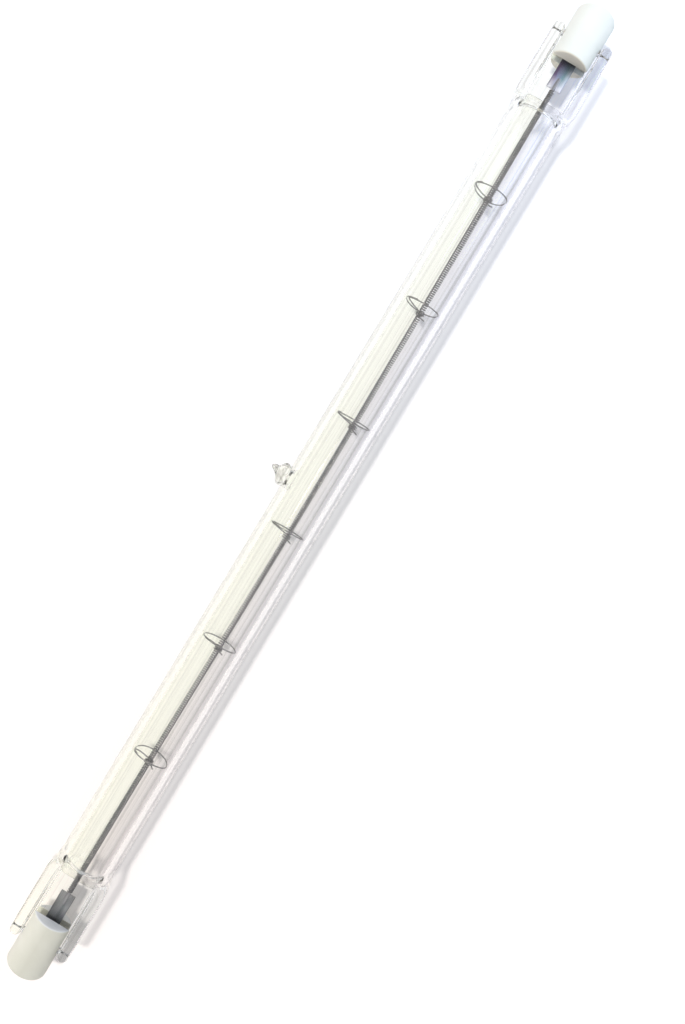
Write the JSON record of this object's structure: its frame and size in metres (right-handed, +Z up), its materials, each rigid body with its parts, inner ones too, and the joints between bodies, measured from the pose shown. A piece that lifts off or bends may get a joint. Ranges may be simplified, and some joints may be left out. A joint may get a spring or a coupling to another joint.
{
  "type": "linear halogen bulb",
  "caption": "Double-ended linear halogen bulb: a clear quartz tube with a supported filament coil, pinch seals and recessed-contact ceramic caps.",
  "frame": {"origin": "middle of the quartz tube's axis, halfway between the two ceramic ends", "axes": "+X along the lamp towards its right-hand cap, +Y towards the sealed exhaust tip, +Z up, square to the flat pinch seals"},
  "size_m": [0.189, 0.0138, 0.01],
  "materials": {
    "quartz": "clear",
    "tungsten": "satin",
    "molybdenum": "satin",
    "steatite": "matte",
    "cement": "matte",
    "contact": "polished"
  },
  "bodies": {
    "root": {"quartz_envelope": "quartz", "filament_coil": "tungsten", "filament_support_1": "tungsten", "filament_support_2": "tungsten", "filament_support_3": "tungsten", "filament_support_4": "tungsten", "filament_support_5": "tungsten", "filament_support_6": "tungsten", "inner_lead_left": "molybdenum", "inner_lead_right": "molybdenum", "sealing_foil_left": "molybdenum", "sealing_foil_right": "molybdenum", "outer_lead_left": "molybdenum", "outer_lead_right": "molybdenum", "cap_cement_left": "cement", "cap_cement_right": "cement", "ceramic_cap_left": "steatite", "ceramic_cap_right": "steatite", "contact_button_left": "contact", "contact_button_right": "contact"}
  },
  "joints": []
}
